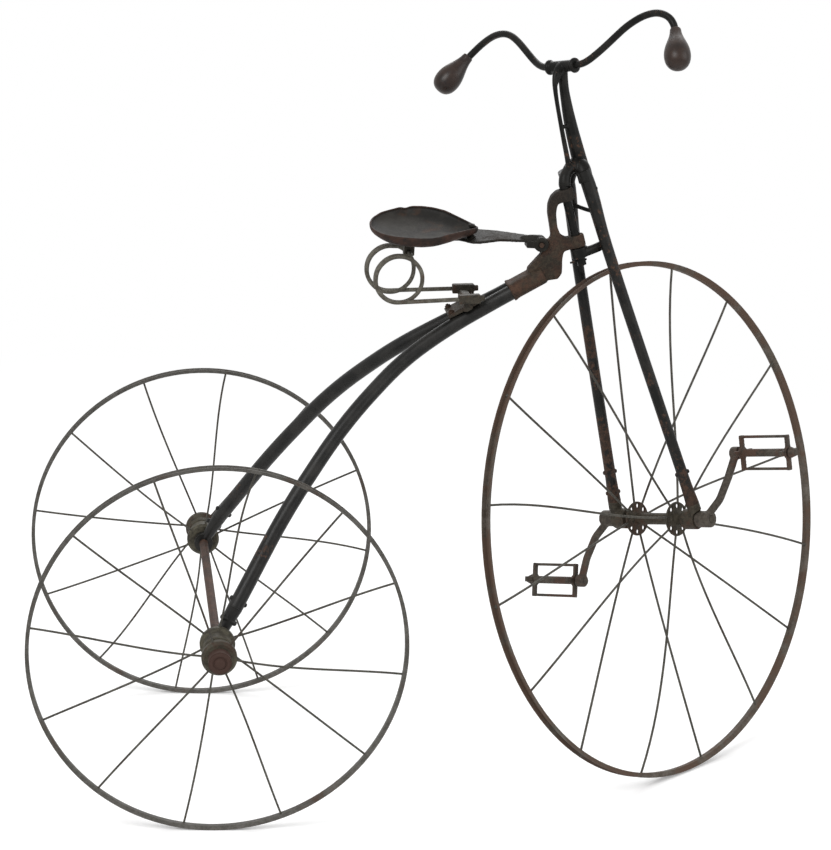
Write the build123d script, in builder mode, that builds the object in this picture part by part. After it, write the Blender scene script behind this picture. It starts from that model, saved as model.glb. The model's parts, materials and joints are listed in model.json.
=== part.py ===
from build123d import *
from math import cos, radians, sin, sqrt, tan
import os

os.makedirs("parts", exist_ok=True)

# A child's iron velocipede with one large driven front wheel and two rear wheels.
# Millimetres. X points ahead, Y to the rider's left, Z up from the ground.

# Wheels, bare channel rims with the rubber tyres gone
rear_radius = 225.0          # to the rim's outer edge
rear_rim_width = 11.0
rear_rim_depth = 4.6
front_radius = 328.0
front_rim_width = 12.0
front_rim_depth = 6.0
rim_wall = 1.4
rim_flank = 0.45             # how far a rim's flank leans in, of its depth
rear_spoke_radius = 1.3
front_spoke_radius = 1.5
rear_spokes_per_side = 6
front_spokes_per_side = 8
front_spoke_turn = 5.8       # of the first spoke on the hub's left flange, degrees
rear_spoke_turn = -23.3
track = 460.0                # between the rear wheels' middle planes

# Steering
caster = 17.1                # the steering axis leans back by this, degrees
steer_rest = 42.65           # the fork stands turned to the left by this, degrees
axis_reach = 643.9           # rear axle to where the steering axis meets the ground
axle_ahead = 27.4            # front axle ahead of the steering axis
axle_lean = 1.9              # the bent fork holds its axle this far out of square, degrees

# Clearances
seat_gap = 0.2               # between a seated piece and its seat
run_gap = 0.05               # radial clearance of a running shaft
side_gap = 0.3               # between faces that turn past each other
cut_reach = 100.0            # long enough for a cut to leave the piece it trims

# Front axle, hub and cranks
axle_radius = 4.5
front_flange_radius = 22.0
front_flange_thick = 4.0
front_flange_inset = 32.0    # hub's middle to a flange's middle
hub_cone_radius = 7.5
flange_hole_radius = 2.7
flange_hole_circle = 17.0
fork_end_radius = 13.0
fork_end_inner = 46.0        # hub's middle to the fork end's inner face
fork_end_thick = 20.0
crank_boss_radius = 10.5
crank_boss_length = 21.0
crank_side_gap = 1.5         # round the crank boss where the fork end makes room for it
crank_radius = 5.0
crank_eye_radius = 8.0
crank_eye_half = 5.5
pedal_offset = 45.0          # a crank's pedal eye to its pedal's middle
pedal_length = 69.0          # between the pedal's end plates
pedal_height = 44.0
pedal_plate_thick = 4.0
pedal_bar_radius = 1.9
pedal_barrel_radius = 5.0
spindle_radius = 3.0
spindle_nut = 8.0
spindle_nut_radius = 7.0

# The crank arm's bends by their part of the throw and how far out from its boss they lie
crank_bends = ((0.30, 22.0), (0.64, 34.0))
crank_bend = 25.0

# Side, +1 to the left, throw, degrees from the fork's line, hub's middle to the pedal eye's
# middle, and degrees that the pedal stands turned; the left crank is bent inward
cranks = (("right", -1, 83.0, 26.6, 121.0, 14.4), ("left", 1, 82.0, 29.5, 117.0, 26.5))

# Fork, its heights measured up the steering axis from the front axle
blade_radius = 7.0
blade_top = 456.0
blade_top_ahead = 22.3       # blades' upper ends ahead of the steering axis
blade_top_spread = 14.8      # fork's middle to a blade's upper end
blade_foot = 24.0
blade_foot_spread = 62.5
fork_neck_radius = 8.5
crown_bottom = 456.0
crown_top = 473.0
crown_length = 56.0
crown_width = 17.0
crown_shoulder = 11.0        # how far the crown draws in on each side from bottom to top
knob_radius = 8.5
knob_length = 10.0
crown_step = 4.0             # where the crown's top starts to slope down behind the stem
eye_radius = 10.5
eye_thick = 16.0
pivot_radius = 5.5
pivot_cover = 3.0            # metal left over the pivot pin in the crown's knob
pivot_tail = 10.0            # pin below the bridge
upper_eye_top = 451.0        # the frame's two eyes turn on the pivot pin
lower_eye_top = 391.5
bridge_thick = 13.0
bridge_arm_drop = 4.0
bridge_arm_thick = 9.0
split_pin_drop = 4.2
split_pin_radius = 1.3
split_pin_reach = (14.0, 7.0)    # behind and ahead of the pivot pin's middle
split_pin_way = (0.62, -0.78, 0.0)
tie_radius = 1.8
tie_left_height = 424.0
tie_right_height = 413.5

# Stem and handlebar boss; the stem's round bar by height, distance ahead and radius
stem_bar = ((crown_top, 43.0, 8.5), (512.0, 38.0, 7.2), (540.0, 39.5, 6.5), (591.0, 49.4, 6.0))
stem_top = 591.0             # middle of the handlebar boss
boss_radius = 7.8
boss_half = 22.0
collar_radius = 8.8
collar_width = 5.0
rib_thick = 5.2

# Handlebar: each side's bends ahead of the boss, out, and up from it,
# then how far its grip drops and goes out over the run from neck to end
bar_radius = 4.0
bar_ahead = 49.4
bar_bend = 34.0
boss_bend = 9.0              # where it leaves the boss
neck_bend = 9.0              # at a grip's neck, so that it runs straight into the grip
bar_sides = (
    ("right", -1, ((0, 31, 0), (12, 62, 16.5), (20, 84, 29), (26, 108, 40), (29, 137, 48.5),
                   (27.6, 156, 44), (23.6, 163, 30)), 43.5, 25.0),
    ("left", 1, ((0, 31, 0), (12.6, 60, 20.5), (22.6, 90, 38), (28, 123, 41), (28.5, 146, 34),
                 (23.6, 161, 21.5)), 33.5, 29.0),
)
grip_back = 44.5             # how far a grip runs back from neck to end
grip_lead = 4.5              # bar's last bend to the grip's mouth
grip_bore = 22.0
grip_length = 58.5
grip_shape = ((0.0, 6.5), (0.07, 7.0), (0.23, 9.0), (0.45, 14.0), (0.65, 16.0), (0.84, 14.5),
              (0.96, 9.0), (1.0, 0.0))

# Frame; a leg's bends by their part of the run from its socket down to the rear axle,
# then how far out and up they lie from the straight line between the two
leg_radius = 9.25
leg_offset = 9.8             # frame's middle to a leg's middle in the head casting
leg_bend = 900.0             # the widest arc in a leg; its straight runs allow less
bend_share = 0.49            # of a straight run, the most that a bend at its end takes up
leg_straight = 16.0          # a leg's run behind the head casting before it bends
leg_bends = ((0.2059, -30.31, 37.77), (0.3748, -42.09, 63.78), (0.5776, -35.04, 73.98),
             (0.7747, -21.95, 52.49), (0.9437, 4.26, 15.3))
socket_mouth = (-95.0, -47.3)    # from the steering axis and from the lower eye's top
socket_end = (-50.0, -36.1)
socket_depth = 35.0
socket_wall = 1.3
socket_lip = 4.0
web_thick = 15.0
knuckle_ahead = -44.2        # where the saddle's leaf is pinned, from the steering axis
knuckle_rise = 0.8            # over the lower eye's top
knuckle_radius = 9.0
knuckle_pin_radius = 3.0
knuckle_pin_end = 2.0
ear_half = 5.0
cheek_thick = 6.0
cheek_length = 18.0
lug_gap = 1.5                # between an axle lug and its wheel's hub
rear_axle_radius = 5.5
lug_radius = 12.0
lug_thick = 13.0
hub_flange_radius = 21.0
hub_waist_radius = 17.0
hub_half = 30.0
hub_flange_thick = 9.0
hub_chamfer = 3.0
axle_cap_radius = 13.5
axle_cap_thick = 14.0
axle_cap_wall = 3.0

# Saddle: rings of the round pan by depth and half width, with how far ahead the end of its
# nose is centred and that end's half width; then the leaf under it by distance ahead, half
# width and height over the pan's bottom
saddle_back = 152.5           # pan's middle behind the knuckle
saddle_rise = 16.9           # pan's rim over the knuckle
saddle_pitch = -2.6          # nose up, degrees
saddle_roll = 11.0           # the old seat has sagged to the right, degrees
saddle_wall = 2.0
pan_rings = ((0.0, 57.0, 60.0, 14.0), (8.0, 47.0, 48.0, 11.0), (13.5, 28.0, 30.0, 9.0))
leaf_thick = 3.2
leaf_shape = ((-24, 12, 0), (10, 13, 0), (50, 9, 0), (66, 20, 0), (76, 21, 0.4), (100, 15, 0.6),
              (141.5, 9, -4.0))

# Springs, wound about a sideways axis and placed from the pan's middle and rim
# Side, how far its coil is behind the pan's middle, and its radius; the left one is spread
coils = (("right", -1, 23.5, 28.5), ("left", 1, 27.1, 29.2))
wire_drop = 31.7             # pan's rim to the wire's cross piece
coil_sides = 8               # straight pieces in one turn, joined by arcs
coil_arc = 0.94              # the arcs' radius as a part of the coil's
coil_inner = 29.0            # frame's middle to a coil's first and last turn
coil_outer = 37.5
cross_back = 9.5             # the wire's cross piece behind the pan's middle
cross_bend = 5.5
wire_radius = 2.6
tail_offset = 30.0
tail_ahead = 65.0
tail_drop = 82.5
seat_block = (13.0, 16.0)    # length and width
seat_block_drop = 2.0        # block below the wire
clamp_size = 11.0
clamp_length = 27.0
clamp_grip = 14.0            # how far a wire's tail goes into its block
clamp_foot = (42.0, 42.0, 5.0)
clamp_ahead = 66.0


def turned(angle):
    """Steering frame turned to the left by an angle: x ahead, y left, z up the steering axis."""
    c, s, k = cos(radians(angle)), sin(radians(angle)), radians(caster)
    return Plane(
        origin=(axis_reach - middle_x, 0, 0),
        x_dir=(c * cos(k), s, c * sin(k)),
        z_dir=(-sin(k), 0, cos(k)),
    )


def at(frame, plane):
    """A plane given in the coordinates of a frame."""
    return Plane(frame.location * plane.location)


def rod_plane(frame, start, end):
    """Plane at start, in a frame's coordinates, that looks towards end."""
    start, end = Vector(*start), Vector(*end)
    return at(frame, Plane(origin=start, z_dir=end - start))


def reach(start, end):
    """Distance between two points."""
    return (Vector(*end) - Vector(*start)).length


def bend_radii(points, radius):
    """Radius of each bend on a run of points, held to the room its straight runs leave."""
    radii = []
    for before, here, after in zip(points, points[1:], points[2:]):
        turn = radians((here - before).get_angle(after - here))
        room = bend_share * min((here - before).length, (after - here).length)
        radii.append(min(radius, room / tan(turn / 2)))
    return radii


# The front wheel touches the ground where its lean and its rim's width let it
steer = radians(steer_rest)
lean = radians(caster)
tilt = radians(axle_lean)
normal_x = -sin(steer) * cos(lean) * cos(tilt) + sin(lean) * sin(tilt)
normal_z = -sin(steer) * sin(lean) * cos(tilt) - cos(lean) * sin(tilt)
front_axle_height = (
    front_radius * sqrt(1 - normal_z**2) + front_rim_width / 2 * abs(normal_z)
)
axle_up = (front_axle_height - axle_ahead * cos(steer) * sin(lean)) / cos(lean)
front_axle_x = axis_reach - axle_up * sin(lean) + axle_ahead * cos(steer) * cos(lean)
front_edge = (
    front_axle_x
    + front_radius * sqrt(1 - normal_x**2)
    + front_rim_width / 2 * abs(normal_x)
)
middle_x = (front_edge - rear_radius) / 2

fork = turned(steer_rest)
head = turned(0)
wheel = at(
    fork,
    Plane(origin=(axle_ahead, 0, axle_up), x_dir=(1, 0, 0), z_dir=(0, cos(tilt), -sin(tilt))),
)


def rim(frame, radius, width, depth):
    """Channel rim, open outward, turned about a wheel frame's z axis."""
    half = width / 2
    floor = radius - depth
    flat = half - depth * rim_flank
    with BuildPart() as ring:
        with BuildSketch(at(frame, Plane.XZ)):
            with BuildLine():
                Polyline(
                    (radius, half),
                    (floor, flat),
                    (floor, -flat),
                    (radius, -half),
                    (radius, rim_wall - half),
                    (floor + rim_wall, rim_wall / 2 - flat),
                    (floor + rim_wall, flat - rim_wall / 2),
                    (radius, half - rim_wall),
                    close=True,
                )
            make_face()
        revolve(axis=Axis(frame.origin, frame.z_dir))
    return ring.part


def spokes(frame, count, flange_radius, flange_inset, rim_floor, spoke_radius, turn):
    """Straight wires from both hub flanges to the rim, each a solid of its own."""
    with BuildPart() as wires:
        for side, stagger in ((1, 0.0), (-1, 0.5)):
            for number in range(count):
                angle = radians(turn + (number + stagger) * 360 / count)
                inner = flange_radius + seat_gap
                outer = rim_floor - seat_gap
                start = (inner * cos(angle), inner * sin(angle), side * flange_inset)
                end = (outer * cos(angle), outer * sin(angle), side * spoke_radius)
                with BuildSketch(rod_plane(frame, start, end)):
                    Circle(spoke_radius)
                extrude(amount=reach(start, end))
    return wires.part


def keep(part, label):
    """Name a finished piece and write it."""
    part.label = label
    export_step(part, f"parts/{label}.step")


# Front wheel
front_rim = rim(wheel, front_radius, front_rim_width, front_rim_depth)
keep(front_rim, "front_rim")
front_spokes = spokes(
    wheel, front_spokes_per_side, front_flange_radius, front_flange_inset,
    front_radius - front_rim_depth, front_spoke_radius, front_spoke_turn,
)
keep(front_spokes, "front_spokes")

with BuildPart() as front_hub:
    for side in (1, -1):
        with BuildSketch(at(wheel, Plane.XY.offset(side * front_flange_inset - front_flange_thick / 2))):
            Circle(front_flange_radius)
            with PolarLocations(flange_hole_circle, front_spokes_per_side):
                Circle(flange_hole_radius, mode=Mode.SUBTRACT)
        extrude(amount=front_flange_thick)
    with BuildSketch(at(wheel, Plane.XY.offset(side_gap - fork_end_inner))):
        Circle(hub_cone_radius)
    extrude(amount=2 * (fork_end_inner - side_gap))
    with BuildSketch(at(wheel, Plane.XY.offset(-fork_end_inner))):
        Circle(axle_radius + run_gap)
    extrude(amount=2 * fork_end_inner, mode=Mode.SUBTRACT)
keep(front_hub.part, "front_hub")

crank_inner = fork_end_inner + fork_end_thick + side_gap
crank_middle = crank_inner + crank_boss_length / 2
axle_half = crank_inner + crank_boss_length
with BuildPart() as front_axle:
    with BuildSketch(at(wheel, Plane.XY.offset(-axle_half))):
        Circle(axle_radius)
    extrude(amount=2 * axle_half)
keep(front_axle.part, "front_axle")

for name, side, crank_throw, crank_angle, pedal_inner, pedal_turn in cranks:
    pedal_middle = pedal_inner + pedal_offset
    angle = radians(crank_angle)
    aim = Vector(sin(angle), -cos(angle), 0) * -side
    across = Vector(0, 0, side)
    pin = aim * crank_throw
    with BuildPart() as crank:
        with BuildSketch(at(wheel, Plane.XY.offset(side * crank_middle - crank_boss_length / 2))):
            Circle(crank_boss_radius)
        extrude(amount=crank_boss_length)
        route = [across * crank_middle]
        for part, out in crank_bends:
            route.append(pin * part + across * (crank_middle + out))
        route.append(pin + across * pedal_inner)
        with BuildLine() as arm:
            FilletPolyline(*[wheel.from_local_coords(point) for point in route], radius=crank_bend)
        with BuildSketch(Plane(arm.line @ 0, z_dir=arm.line % 0)):
            Circle(crank_radius)
        sweep(path=arm.line)
        with BuildSketch(at(wheel, Plane(pin + across * (pedal_inner - crank_eye_half), z_dir=across))):
            Circle(crank_eye_radius)
        extrude(amount=2 * crank_eye_half)
        with BuildSketch(at(wheel, Plane.XY.offset(side * crank_middle - crank_boss_length))):
            Circle(axle_radius + run_gap)
        extrude(amount=2 * crank_boss_length, mode=Mode.SUBTRACT)
        with BuildSketch(at(wheel, Plane(pin + across * (pedal_inner - 2 * crank_eye_half), z_dir=across))):
            Circle(spindle_radius + run_gap)
        extrude(amount=4 * crank_eye_half, mode=Mode.SUBTRACT)
    keep(crank.part, f"crank_{name}")

    spindle_start = pedal_inner - crank_eye_half
    spindle_end = pedal_middle + pedal_length / 2 + pedal_plate_thick
    with BuildPart() as spindle:
        with BuildSketch(at(wheel, Plane(pin + across * spindle_start, z_dir=across))):
            Circle(spindle_radius)
        extrude(amount=spindle_end - spindle_start)
        with BuildSketch(at(wheel, Plane(pin + across * (spindle_end + side_gap), z_dir=across))):
            Circle(spindle_nut_radius)
        extrude(amount=spindle_nut, taper=20)
        with BuildSketch(at(wheel, Plane(pin + across * spindle_end, z_dir=across))):
            Circle(spindle_radius)
        extrude(amount=side_gap)
    keep(spindle.part, f"pedal_spindle_{name}")

    turn = (cos(radians(pedal_turn)), sin(radians(pedal_turn)), 0)
    with BuildPart() as pedal:
        for place in (pedal_middle - pedal_length / 2, pedal_middle + pedal_length / 2):
            with BuildSketch(at(wheel, Plane(pin + across * (place - pedal_plate_thick / 2), x_dir=turn, z_dir=across))):
                Circle(pedal_barrel_radius + 3)
                Rectangle(pedal_height * 0.85, 7)
                Rectangle(7, pedal_height)
            extrude(amount=pedal_plate_thick)
        with BuildSketch(at(wheel, Plane(pin + across * (pedal_middle - pedal_length / 2), z_dir=across))):
            Circle(pedal_barrel_radius)
        extrude(amount=pedal_length)
        with BuildSketch(at(wheel, Plane(pin + across * (pedal_middle - pedal_length / 2), x_dir=turn, z_dir=across))):
            with Locations((0, pedal_height / 2 - pedal_bar_radius), (0, pedal_bar_radius - pedal_height / 2)):
                Circle(pedal_bar_radius)
        extrude(amount=pedal_length)
        with BuildSketch(at(wheel, Plane(pin + across * (pedal_inner + crank_eye_half), z_dir=across))):
            Circle(spindle_radius + run_gap)
        extrude(amount=2 * pedal_length, mode=Mode.SUBTRACT)
    keep(pedal.part, f"pedal_{name}")

# Fork: blades, their ends at the axle, crown, stem and pivots
for name, side in (("right", -1), ("left", 1)):
    end_middle = side * (fork_end_inner + fork_end_thick / 2)
    foot = Vector(axle_ahead, side * blade_foot_spread, axle_up + blade_foot)
    top = Vector(blade_top_ahead, side * blade_top_spread, axle_up + blade_top)
    along = (top - foot).normalized()
    with BuildPart() as blade:
        with BuildSketch(rod_plane(fork, foot, top)):
            Circle(blade_radius)
        extrude(amount=reach(foot, top))
        # the crown's underside cuts the sloping upper end square with the steering axis
        with BuildSketch(at(fork, Plane.XY.offset(axle_up + crown_bottom - seat_gap))):
            with Locations((blade_top_ahead, side * blade_top_spread)):
                Circle(3 * blade_radius)
        extrude(amount=3 * blade_radius, mode=Mode.SUBTRACT)
    keep(blade.part, f"fork_blade_{name}")

    with BuildPart() as fork_end:
        with BuildSketch(at(wheel, Plane.XY.offset(end_middle - fork_end_thick / 2))):
            Circle(fork_end_radius)
        extrude(amount=fork_end_thick)
        with BuildSketch(rod_plane(fork, foot - along * seat_gap, foot - along * blade_foot)):
            Circle(fork_neck_radius)
        extrude(amount=blade_foot - crank_boss_radius)
        with BuildSketch(at(wheel, Plane(Vector(0, 0, side * (fork_end_inner + fork_end_thick)), z_dir=(0, 0, side)))):
            Circle(crank_boss_radius + crank_side_gap)
        extrude(amount=crank_boss_length, mode=Mode.SUBTRACT)
        with BuildSketch(at(wheel, Plane.XY.offset(end_middle - fork_end_thick))):
            Circle(axle_radius + run_gap)
        extrude(amount=2 * fork_end_thick, mode=Mode.SUBTRACT)
    keep(fork_end.part, f"fork_end_{name}")

crown_low = axle_up + crown_bottom
crown_high = axle_up + crown_top
knob_low = axle_up + upper_eye_top + side_gap
pin_high = knob_low + knob_length - pivot_cover
with BuildPart() as crown:
    with BuildSketch(at(fork, Plane.XY.offset(crown_low))):
        with Locations((blade_top_ahead, 0)):
            SlotOverall(crown_length, crown_width)
    extrude(amount=crown_top - crown_bottom)
    for height, spread in ((crown_low, blade_top_spread), (crown_high, blade_top_spread - crown_shoulder)):
        with BuildSketch(at(fork, Plane.XY.offset(height))):
            with Locations((blade_top_ahead, 0)):
                SlotCenterToCenter(2 * spread, 2 * blade_radius + 2, rotation=90)
    loft(ruled=True)
    with BuildSketch(at(fork, Plane.XY.offset(knob_low))):
        Circle(knob_radius)
    extrude(amount=knob_length)
    with BuildSketch(at(fork, Plane.XZ)):
        with BuildLine():
            Polyline(
                (crown_step, knob_low + knob_length), (crown_step + 10, crown_high + 1),
                (-crown_length, crown_high + 1), (-crown_length, knob_low + knob_length), close=True,
            )
        make_face()
    extrude(amount=crown_width, both=True, mode=Mode.SUBTRACT)
    with BuildSketch(at(fork, Plane.XY.offset(knob_low - eye_thick))):
        Circle(pivot_radius + run_gap)
    extrude(amount=pin_high + run_gap - (knob_low - eye_thick), mode=Mode.SUBTRACT)
keep(crown.part, "fork_crown")

# The pivot pin hangs in the crown and goes down through the frame's two eyes and the bridge
bridge_high = axle_up + lower_eye_top - eye_thick - side_gap
bridge_low = bridge_high - bridge_thick
pin_low = bridge_low - pivot_tail
split_height = bridge_low - split_pin_drop
with BuildPart() as steering_pin:
    with BuildSketch(at(fork, Plane.XY.offset(pin_low))):
        Circle(pivot_radius)
    extrude(amount=pin_high - pin_low)
    split_plane = at(fork, Plane(origin=(0, 0, split_height), z_dir=split_pin_way))
    with BuildSketch(split_plane):
        Circle(split_pin_radius + run_gap)
    extrude(amount=2 * pivot_radius, both=True, mode=Mode.SUBTRACT)
keep(steering_pin.part, "steering_pin")

with BuildPart() as split_pin:
    with BuildSketch(split_plane.offset(-split_pin_reach[0])):
        Circle(split_pin_radius)
    extrude(amount=sum(split_pin_reach))
keep(split_pin.part, "split_pin")


def blade_at(side, height):
    """Point on a blade's centre line at a height above the axle."""
    part = (height - blade_foot) / (blade_top - blade_foot)
    spread = blade_foot_spread + (blade_top_spread - blade_foot_spread) * part
    ahead = axle_ahead + (blade_top_ahead - axle_ahead) * part
    return Vector(ahead, side * spread, axle_up + height)


arm_high = bridge_high - axle_up - bridge_arm_drop
arm_left = blade_at(1, arm_high)
arm_reach = arm_left.Y - blade_radius - 2 * seat_gap
with BuildPart() as bridge:
    with BuildSketch(at(fork, Plane.XY.offset(bridge_low))):
        Circle(eye_radius)
    extrude(amount=bridge_thick)
    with BuildSketch(at(fork, Plane.XY.offset(axle_up + arm_high - bridge_arm_thick))):
        with BuildLine():
            Polyline(
                (-4, eye_radius - 2), (arm_left.X - 4, arm_reach), (arm_left.X + 5, arm_reach),
                (eye_radius + 1, 0),
                (arm_left.X + 5, -arm_reach), (arm_left.X - 4, -arm_reach), (-4, 2 - eye_radius),
                close=True,
            )
        make_face()
    extrude(amount=bridge_arm_thick)
    with BuildSketch(at(fork, Plane.XY.offset(bridge_low - bridge_thick))):
        Circle(pivot_radius + run_gap)
    extrude(amount=3 * bridge_thick, mode=Mode.SUBTRACT)
keep(bridge.part, "fork_bridge")

tie_left = blade_at(1, tie_left_height)
tie_right = blade_at(-1, tie_right_height)
with BuildPart() as tie:
    with BuildSketch(rod_plane(fork, tie_left, tie_right)):
        Circle(tie_radius)
    extrude(amount=reach(tie_left, tie_right))
    for side in (-1, 1):
        with BuildSketch(rod_plane(fork, blade_at(side, blade_foot), blade_at(side, blade_top))):
            Circle(blade_radius + seat_gap)
        extrude(amount=blade_top, mode=Mode.SUBTRACT)
keep(tie.part, "fork_tie")

bar_z = axle_up + stem_top
with BuildPart() as stem:
    with BuildSketch(at(fork, Plane.XZ.offset(-rib_thick / 2))):
        with BuildLine():
            Polyline(
                (15.0, crown_high), (14.8, bar_z - 91), (15.2, bar_z - 71),
                (18.0, bar_z - 45), (24.0, bar_z - 17), (36.0, bar_z - 5),
                (46.0, bar_z - 5), (43.0, bar_z - 46), (40.0, bar_z - 81),
                (44.0, crown_high), close=True,
            )
        make_face()
        with Locations(Pos(26, bar_z - 91) * Rot(0, 0, 90)):
            SlotOverall(40, 5, mode=Mode.SUBTRACT)
        with Locations(Pos(27.5, bar_z - 43) * Rot(0, 0, 81)):
            SlotOverall(40, 5, mode=Mode.SUBTRACT)
    extrude(amount=rib_thick)
    for height, ahead, radius in stem_bar:
        with BuildSketch(at(fork, Plane.XY.offset(axle_up + height))):
            with Locations((ahead, 0)):
                Circle(radius)
    loft(ruled=True)
    boss_plane = at(
        fork, Plane(origin=(bar_ahead, 0, bar_z), x_dir=(1, 0, 0), z_dir=(0, 1, 0))
    )
    with BuildSketch(boss_plane.offset(-boss_half)):
        Circle(boss_radius)
    extrude(amount=2 * boss_half)
    for start in (-boss_half - collar_width / 2, boss_half - collar_width / 2):
        with BuildSketch(boss_plane.offset(start)):
            Circle(collar_radius)
        extrude(amount=collar_width)
    with BuildSketch(boss_plane.offset(-2 * boss_half)):
        Circle(bar_radius + run_gap)
    extrude(amount=4 * boss_half, mode=Mode.SUBTRACT)
keep(stem.part, "stem")

# Handlebar and its turned wooden grips, the bar's ends let into the grips
bar_points = []
for name, side, bends, drop, grip_out in bar_sides:
    ahead, out, up = bends[-1]
    neck = Vector(bar_ahead + ahead, side * out, bar_z + up)
    way = Vector(-grip_back, side * grip_out, -drop).normalized()
    points = [Vector(bar_ahead + a, side * o, bar_z + u) for a, o, u in bends] + [neck + way * grip_bore]
    bar_points = points[::-1] + bar_points if side < 0 else bar_points + points
    grip_plane = rod_plane(fork, neck + way * grip_lead, neck + way * (grip_lead + grip_length))
    with BuildPart() as grip:
        with BuildSketch(at(grip_plane, Plane.XZ)):
            with BuildLine():
                Polyline((0, 0), *[(radius, part * grip_length) for part, radius in grip_shape], close=True)
            make_face()
        revolve(axis=Axis(grip_plane.origin, grip_plane.z_dir))
        with BuildSketch(grip_plane):
            Circle(bar_radius + run_gap)
        extrude(amount=grip_bore - grip_lead + seat_gap, mode=Mode.SUBTRACT)
    keep(grip.part, f"grip_{name}")

with BuildPart() as handlebar:
    with BuildLine() as path:
        bar_line = [fork.from_local_coords(point) for point in bar_points]
        radii = bend_radii(bar_line, bar_bend)
        inner = len(bar_sides[0][2]) - 1
        radii[inner] = radii[inner + 1] = boss_bend
        radii[0] = radii[-1] = neck_bend
        FilletPolyline(*bar_line, radius=radii)
    with BuildSketch(Plane(path.line @ 0, z_dir=path.line % 0)):
        Circle(bar_radius)
    sweep(path=path.line)
keep(handlebar.part, "handlebar")

# Frame: head casting with two eyes and a double socket, legs, lugs and rear axle
upper = axle_up + upper_eye_top
lower = axle_up + lower_eye_top
knuckle_up = lower + knuckle_rise
socket_rear = Vector(socket_mouth[0], 0, lower + socket_mouth[1])
socket_front = Vector(socket_end[0], 0, lower + socket_end[1])
socket_plane = at(head, Plane(origin=socket_rear, x_dir=(0, 1, 0), z_dir=socket_front - socket_rear))
with BuildPart() as casting:
    with BuildSketch(at(head, Plane.XZ.offset(-web_thick / 2))):
        with BuildLine():
            Polyline(
                (0, upper - 1), (-10, upper), (-18, upper - 4.5), (-24, upper - 13), (-27, upper - 24),
                (-28.5, upper - 43), (-29.5, lower + 6), (-35, lower + 2), (-47, lower - 11.5),
                (-66.7, lower - 24.5), (-72, lower - 42), (-34, lower - 47.6), (-27.3, lower - 41.6),
                (-22.5, lower - 24), (-19, lower - eye_thick), (0, lower - eye_thick + 1),
                (0, lower - 1), (-12, lower), (-18, lower + 6), (-19.5, lower + 16.4),
                (-17, lower + 33.4), (-13, upper - eye_thick - 1), (-8, upper - eye_thick + 1),
                (0, upper - eye_thick + 1), close=True,
            )
        make_face()
    extrude(amount=web_thick)
    for top in (upper, lower):
        with BuildSketch(at(head, Plane.XY.offset(top - eye_thick))):
            Circle(eye_radius)
        extrude(amount=eye_thick)
    with BuildSketch(socket_plane):
        SlotCenterToCenter(2 * leg_offset, 2 * (leg_radius + socket_wall))
    extrude(amount=reach(socket_rear, socket_front))
    with BuildSketch(socket_plane):
        SlotCenterToCenter(2 * leg_offset, 2 * (leg_radius + 2 * socket_wall))
    extrude(amount=socket_lip)
    with BuildSketch(socket_plane):
        with Locations((-leg_offset, 0), (leg_offset, 0)):
            Circle(leg_radius + run_gap)
    extrude(amount=socket_depth + seat_gap, mode=Mode.SUBTRACT)
    with BuildSketch(at(head, Plane.XZ.offset(-ear_half))):
        with Locations((knuckle_ahead, knuckle_up)):
            Circle(knuckle_radius)
        with Locations((knuckle_ahead + knuckle_radius, knuckle_up - 5)):
            Rectangle(2 * knuckle_radius, knuckle_radius + 3)
    extrude(amount=2 * ear_half)
    for side in (-1, 1):
        with BuildSketch(at(head, Plane(origin=(0, side * ear_half, 0), x_dir=(1, 0, 0), z_dir=(0, side, 0)))):
            with Locations((knuckle_ahead, -side * (knuckle_up))):
                Circle(knuckle_radius + seat_gap)
        extrude(amount=web_thick, mode=Mode.SUBTRACT)
    with BuildSketch(at(head, Plane.XZ.offset(-2 * ear_half))):
        with Locations((knuckle_ahead, knuckle_up)):
            Circle(knuckle_pin_radius + run_gap)
    extrude(amount=4 * ear_half, mode=Mode.SUBTRACT)
    with BuildSketch(at(head, Plane.XY.offset(lower - 2 * eye_thick))):
        Circle(pivot_radius + run_gap)
    extrude(amount=upper - lower + 3 * eye_thick, mode=Mode.SUBTRACT)
keep(casting.part, "head_casting")

rear_x = -middle_x
lug_inset = track / 2 - hub_half - lug_gap - lug_thick / 2
rise = socket_plane.z_dir
for name, side in (("right", -1), ("left", 1)):
    mouth = socket_plane.from_local_coords(Vector(side * leg_offset, 0, 0))
    lug_centre = Vector(rear_x, side * lug_inset, rear_radius)
    leg_points = [mouth + rise * socket_depth, mouth - rise * leg_straight]
    for part, out, up in leg_bends:
        leg_points.append(mouth + (lug_centre - mouth) * part + Vector(0, side * out, up))
    with BuildPart() as leg:
        with BuildLine() as path:
            FilletPolyline(*leg_points, radius=bend_radii([mouth] + leg_points[1:], leg_bend))
        with BuildSketch(Plane(path.line @ 0, z_dir=path.line % 0)):
            Circle(leg_radius)
        sweep(path=path.line)
    keep(leg.part, f"leg_{name}")

    lug_plane = Plane(origin=lug_centre, x_dir=(1, 0, 0), z_dir=(0, 1, 0))
    leg_foot = leg_points[-1]
    neck_way = (lug_centre - leg_foot).normalized()
    leg_way = (leg_points[-1] - leg_points[-2]).normalized()
    with BuildPart() as lug:
        with BuildSketch(lug_plane.offset(-lug_thick / 2)):
            Circle(lug_radius)
        extrude(amount=lug_thick)
        with BuildSketch(Plane(leg_foot + leg_way * seat_gap, z_dir=leg_way)):
            Circle(leg_radius)
        with BuildSketch(Plane(lug_centre - neck_way * rear_axle_radius, z_dir=neck_way)):
            Circle(lug_thick / 2)
        loft(ruled=True)
        with BuildSketch(lug_plane.offset(-lug_thick)):
            Circle(rear_axle_radius + run_gap)
        extrude(amount=2 * lug_thick, mode=Mode.SUBTRACT)
    keep(lug.part, f"axle_lug_{name}")

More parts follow.
